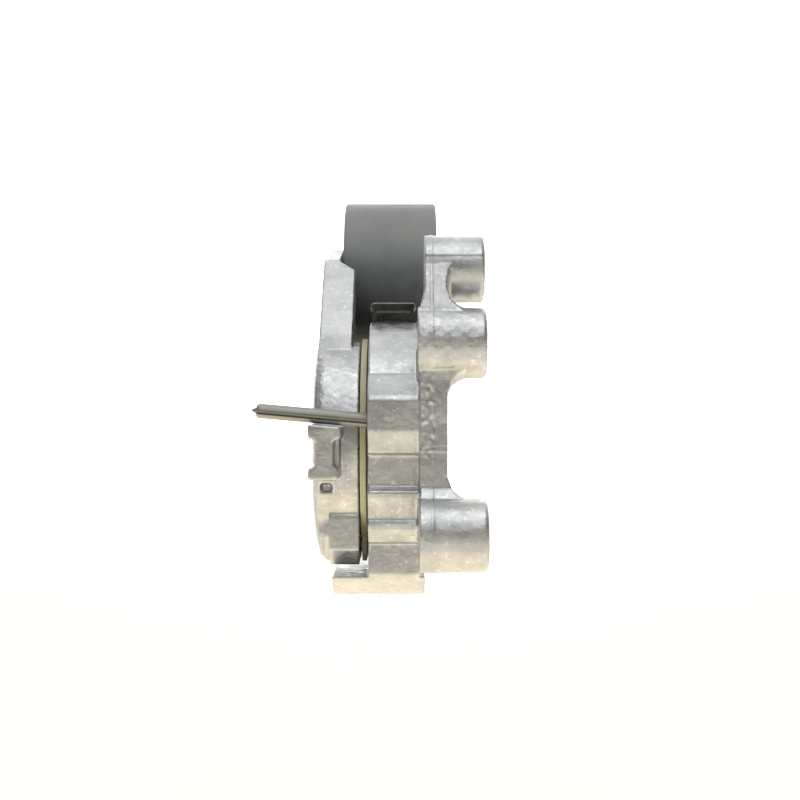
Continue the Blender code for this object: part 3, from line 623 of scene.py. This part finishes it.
def add_pulley_shell(plastic):
    """A smooth moulded rim with eased edges and a fine mould line round its middle."""
    inner = PULLEY_RADIUS - 3.0
    hub = BEARING_RADIUS + 2.6
    web = 2.4
    edge = 0.9
    outside = arc((PULLEY_RADIUS - edge, PULLEY_FRONT_Y + edge), edge, -90, 0, 6)
    outside += [(PULLEY_RADIUS, BEARING_Y - 0.3), (PULLEY_RADIUS + 0.03, BEARING_Y)]
    outside += [(PULLEY_RADIUS, BEARING_Y + 0.3)]
    outside += arc((PULLEY_RADIUS - edge, PULLEY_REAR_Y - edge), edge, 0, 90, 6)
    inside = [
        (inner + 0.4, PULLEY_REAR_Y),
        (inner, BEARING_Y + web),
        (hub, BEARING_Y + web),
        (hub - 0.3, BEARING_Y + BEARING_HALF + 1.2),
        (BEARING_RADIUS + FIT, BEARING_Y + BEARING_HALF + 1.2),
        (BEARING_RADIUS + FIT, BEARING_Y - BEARING_HALF - 1.2),
        (hub - 0.3, BEARING_Y - BEARING_HALF - 1.2),
        (hub, BEARING_Y - web),
        (inner, BEARING_Y - web),
        (inner + 0.4, PULLEY_FRONT_Y),
    ]
    shell = turned("pulley_rim", outside + inside, plastic, PULLEY_CENTRE, 192)
    return stands_for(shell, "pulley_shell", "pulley")


def add_shields(steel_material):
    """Pressed dust shields with a dished rim, before and behind the bearing."""
    for node, side, bore in (("front_dust_shield", -1, 8.5), ("rear_dust_shield", 1, 5.3)):
        face = BEARING_Y + side * BEARING_HALF
        near = face + side * FIT
        dish = face + side * 1.7
        profile = [
            (bore, near),
            (12.4, near),
            (13.6, dish),
            (19.0, dish),
            (19.0, dish + side * SHIELD_SHEET),
            (13.2, dish + side * SHIELD_SHEET),
            (12.0, near + side * SHIELD_SHEET),
            (bore, near + side * SHIELD_SHEET),
        ]
        shield = turned(node + "_pressed", profile, steel_material, PULLEY_CENTRE, 128, 0.35)
        stands_for(shield, node, "arm")


def add_pulley_bolt(steel_material):
    """A flanged hexagon bolt with a socket and a chamfered head."""
    plate_front = PLATE_FRONT_Y
    seat = BEARING_Y + BEARING_HALF + 2 * FIT + SHIELD_SHEET
    shank = 5.0
    profile = [
        (0.0, plate_front + 0.6),
        (shank - 0.9, plate_front + 0.6),
        (shank, plate_front + 1.5),
        (shank, seat),
        (10.9, seat),
        (11.0, seat + 1.0),
        (9.4, seat + 1.8),
        (0.0, seat + 1.8),
    ]
    bolt = turned("bolt", profile, steel_material, PULLEY_CENTRE, 96)
    head_profile = [
        (0.0, seat + 1.0),
        (9.2, seat + 1.0),
        (9.2, seat + 7.2),
        (8.2, seat + 7.95),
        (0.0, seat + 7.95),
    ]
    combine(bolt, turned("head", head_profile, steel_material, PULLEY_CENTRE, 6), "UNION")
    socket = [(0.0, seat + 3.6), (4.4, seat + 3.6), (4.4, seat + 9.0), (0.0, seat + 9.0)]
    combine(bolt, turned("socket", socket, steel_material, PULLEY_CENTRE, 6), "DIFFERENCE")
    bolt.name = "pulley_bolt_finished"
    soften(bolt, 0.2)
    return stands_for(bolt, "pulley_bolt", "arm")


def add_front_cap(plastic):
    """A pressed-in cap, slightly crowned, with a shallow ring groove."""
    face = ARM_FRONT_Y
    profile = [
        (0.0, face + 0.02),
        (6.0, face + 0.05),
        (6.6, face + 0.45),
        (7.4, face + 0.45),
        (8.0, face + 0.08),
        (12.0, face + 0.14),
        (15.0, face + 0.34),
        (15.7, face + 0.95),
        (15.7, face + 3.8),
        (14.8, face + 3.8),
        (14.8, face + 1.2),
        (0.0, face + 1.1),
    ]
    cap = turned("cap", profile, plastic, (0.0, 0.0), 128)
    return stands_for(cap, "front_cap", "arm")


TAB_OUTLINE = [
    (-8.0, -32.5),
    (-7.0, -36.0),
    (-4.0, -37.4),
    (14.0, -37.4),
    (16.5, -34.5),
    (17.0, -29.0),
    (0.0, -32.0),
]


def add_damping_ring(nylon):
    """The friction ring's lip between the castings, with its tab at the foot and its inner skirt."""
    front_y = -37.7
    rear_y = -35.8
    skirt_outer = 29.6
    skirt_inner = 28.1
    profile = [
        (skirt_inner, front_y),
        (34.0, front_y),
        (34.0, rear_y),
        (skirt_outer, rear_y),
        (skirt_outer, -27.0),
        (skirt_inner, -27.0),
    ]
    ring = turned("friction_ring", profile, nylon, (0.0, 0.0), 192, 0.3)
    tab = prism("tab", rounded(TAB_OUTLINE, 0.8), front_y + 0.2, rear_y - 0.2, nylon)
    combine(ring, tab, "UNION")
    ring.data.shade_smooth()
    ring.data.set_sharp_from_angle(angle=math.radians(32))
    return stands_for(ring, "damping_ring", "base")


def add_keeper_clip(coat, wear_and_highlight):
    """A bent, sheared strip; the black coat is bright bare steel along its top edges, partly wear and
    partly a painted highlight where the edges catch the light from above.
    """
    low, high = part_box("keeper_clip")
    front_y, rear_y = low[1] / MM, high[1] / MM
    foot_z, top_z = low[2] / MM, high[2] / MM
    leg = 1.0
    sheet = 1.9
    overhang = 0.7
    outline = [
        (front_y + overhang, foot_z),
        (front_y + overhang, top_z - sheet - 0.2),
        (front_y, top_z - sheet),
        (front_y + 0.5, top_z - 0.5),
        (front_y + 1.2, top_z - 0.05),
        (rear_y - 1.0, top_z - 0.05),
        (rear_y - 0.3, top_z - 0.5),
        (rear_y, top_z - sheet + 0.2),
        (rear_y - overhang, top_z - sheet - 0.1),
        (rear_y - overhang, foot_z),
        (rear_y - overhang - leg, foot_z),
        (rear_y - overhang - leg, top_z - sheet - 0.3),
        (front_y + overhang + leg, top_z - sheet - 0.3),
        (front_y + overhang + leg, foot_z),
    ]
    clip = cross_prism("clip", outline, low[0] / MM, high[0] / MM, coat)
    soften(clip, 0.13, 2, wear_and_highlight)
    # Only the top rounding keeps the bright edge material: a painted highlight where light from above
    # falls, with wear.
    for face in clip.data.polygons:
        if face.center.z < (top_z - sheet - 0.05) * MM:
            face.material_index = 0
    return stands_for(clip, "keeper_clip", "base")


PIN_MOUTH = (40.0, BASE_FRONT_Y, 7.8)


def add_lock_pin(steel_material, dark):
    """A rolled spring pin: a slotted sleeve with eased ends, dark inside, and a small pointed core."""
    move = joint("lock_pin_pull")
    out = Vector(move["axis"]).normalized()
    mouth = Vector(PIN_MOUTH)
    outer = 2.2
    inner = 1.45
    half_slot = 18.0
    slot_at = -10.0
    section = arc((0, 0), outer, slot_at + half_slot, slot_at + 360 - half_slot, 56)
    section += arc((0, 0), inner, slot_at + 360 - half_slot, slot_at + half_slot, 56)
    half = len(section) // 2
    stations = [(32.9, 0.80), (32.5, 0.93), (31.9, 0.99), (31.3, 1.0), (-8.8, 1.0), (-10.0, 0.8)]
    up = Vector((0.0, -out.z, out.y)) * -1.0
    across = Vector((1.0, 0.0, 0.0))

    def place(x, z, along):
        return mouth + across * x + up * z + out * along

    bm = bmesh.new()
    rings = [[bm.verts.new(place(x * k, z * k, along)) for x, z in section] for along, k in stations]
    for here, there in zip(rings, rings[1:]):
        for i in range(len(section)):
            j = (i + 1) % len(section)
            bm.faces.new((here[i], here[j], there[j], there[i]))
    for end in (rings[0], rings[-1]):
        for i in range(half - 1):
            bm.faces.new((end[i], end[i + 1], end[-i - 2], end[-i - 1]))
    core_sides = 32
    core_stations = [(34.45, 0.12), (34.0, 0.5), (33.0, 1.02), (32.0, 1.3), (-9.4, 1.3)]
    core = [
        [bm.verts.new(place(x, z, along)) for x, z in arc((0, 0), radius, 0, 360, core_sides)[:-1]]
        for along, radius in core_stations
    ]
    first_core = len(bm.faces)
    for here, there in zip(core, core[1:]):
        for i in range(core_sides):
            j = (i + 1) % core_sides
            bm.faces.new((here[i], here[j], there[j], there[i]))
    bm.faces.new(core[0])
    bm.faces.new(core[-1])
    bm.faces.ensure_lookup_table()
    for face in bm.faces[first_core:]:
        face.material_index = 1
    pin = new_object("pin", bm, steel_material)
    pin.data.materials.append(dark)
    return stands_for(pin, "lock_pin", "pin")


# ---------------------------------------------------------------- the scene


def add_stage():
    """A pale floor and a bright backdrop, with soft light from above and a little warm light from below."""
    scene = bpy.context.scene
    scene.view_settings.view_transform = "Standard"
    world = bpy.data.worlds.new("world")
    world.use_nodes = True
    background = world.node_tree.nodes["Background"]
    background.inputs["Color"].default_value = (1.0, 0.96, 0.88, 1.0)
    background.inputs["Strength"].default_value = 0.27
    scene.world = world

    floor_material = bpy.data.materials.new("floor")
    floor_material.use_nodes = True
    floor_shader = floor_material.node_tree.nodes["Principled BSDF"]
    floor_shader.inputs["Base Color"].default_value = (0.97, 0.94, 0.88, 1.0)
    floor_shader.inputs["Roughness"].default_value = 0.9
    floor_shader.inputs["Emission Color"].default_value = (1.0, 0.87, 0.62, 1.0)
    floor_shader.inputs["Emission Strength"].default_value = 0.34
    bpy.ops.mesh.primitive_plane_add(size=5.0, location=(0.0, 0.0, FLOOR_Z))
    floor = bpy.context.object
    floor.name = "floor"
    paint(floor, floor_material)

    backdrop_material = bpy.data.materials.new("backdrop")
    backdrop_material.use_nodes = True
    backdrop_shader = backdrop_material.node_tree.nodes["Principled BSDF"]
    backdrop_shader.inputs["Base Color"].default_value = (0.9, 0.9, 0.9, 1.0)
    backdrop_shader.inputs["Emission Color"].default_value = (1.0, 1.0, 1.0, 1.0)
    backdrop_shader.inputs["Emission Strength"].default_value = 1.4
    bpy.ops.mesh.primitive_plane_add(size=4.0, location=(-1.6, 0.0, 0.0))
    backdrop = bpy.context.object
    backdrop.name = "backdrop"
    backdrop.rotation_euler = (0.0, math.radians(90), 0.0)
    paint(backdrop, backdrop_material)

    def area(name, place, toward, size, power, color):
        light = bpy.data.objects.new(name, bpy.data.lights.new(name, "AREA"))
        light.data.shape = "RECTANGLE"
        light.data.size = size[0]
        light.data.size_y = size[1]
        light.data.energy = power
        light.data.color = color
        light.location = place
        direction = [b - a for a, b in zip(place, toward)]
        light.rotation_euler = Vector(direction).to_track_quat("-Z", "Y").to_euler()
        scene.collection.objects.link(light)
        return light

    area("key_light", (0.55, -0.02, 0.72), (0.0, -0.02, 0.0), (0.8, 0.9), 2.3, (0.96, 0.98, 1.0))
    area("top_light", (0.0, -0.02, 0.95), (0.0, -0.02, 0.0), (1.1, 1.1), 3.5, (0.97, 1.0, 1.0))
    area("under_light", (0.0, -0.02, -0.155), (0.0, -0.02, 0.0), (0.3, 0.4), 0.20, (1.0, 0.72, 0.34))


def main():
    add_camera()
    add_stage()
    cast = cast_aluminium()
    black = black_plastic()
    nylon = cream_nylon()
    bright = steel("bright_steel", (0.46, 0.46, 0.45), (0.62, 0.62, 0.61))
    along_pin = (1.0, 0.06, 1.0)
    pin_steel = steel("pin_steel", (0.27, 0.27, 0.245), (0.40, 0.40, 0.37), along_pin, 0.42, 0.58)
    dark_steel = steel("spring_steel", (0.10, 0.10, 0.11), (0.2, 0.2, 0.21))
    coat = black_coat()
    # Bare steel for the clip's top edges: wear and a painted highlight.
    worn_edge_highlight = steel("worn_edge_highlight", (0.42, 0.42, 0.42), (0.66, 0.66, 0.66), rough_low=0.3, rough_high=0.5)
    pin_shadow = steel("pin_shadow", (0.10, 0.095, 0.08), (0.17, 0.16, 0.135), along_pin, 0.4, 0.6)
    rubber = seal_rubber()
    by_slot = {
        "cast": cast,
        "steel": bright,
        "pin_steel": pin_steel,
        "spring_steel": dark_steel,
        "black_steel": coat,
        "black_plastic": black,
        "nylon": nylon,
        "rubber": rubber,
    }
    for part in frame["record"]["subparts"]:
        paint(frame["nodes"][part["node"]], by_slot[part["material_slot"]])
    add_castings(cast)
    add_pulley_shell(black)
    add_shields(bright)
    add_pulley_bolt(bright)
    add_front_cap(black)
    add_damping_ring(nylon)
    add_keeper_clip(coat, worn_edge_highlight)
    add_lock_pin(pin_steel, pin_shadow)


main()
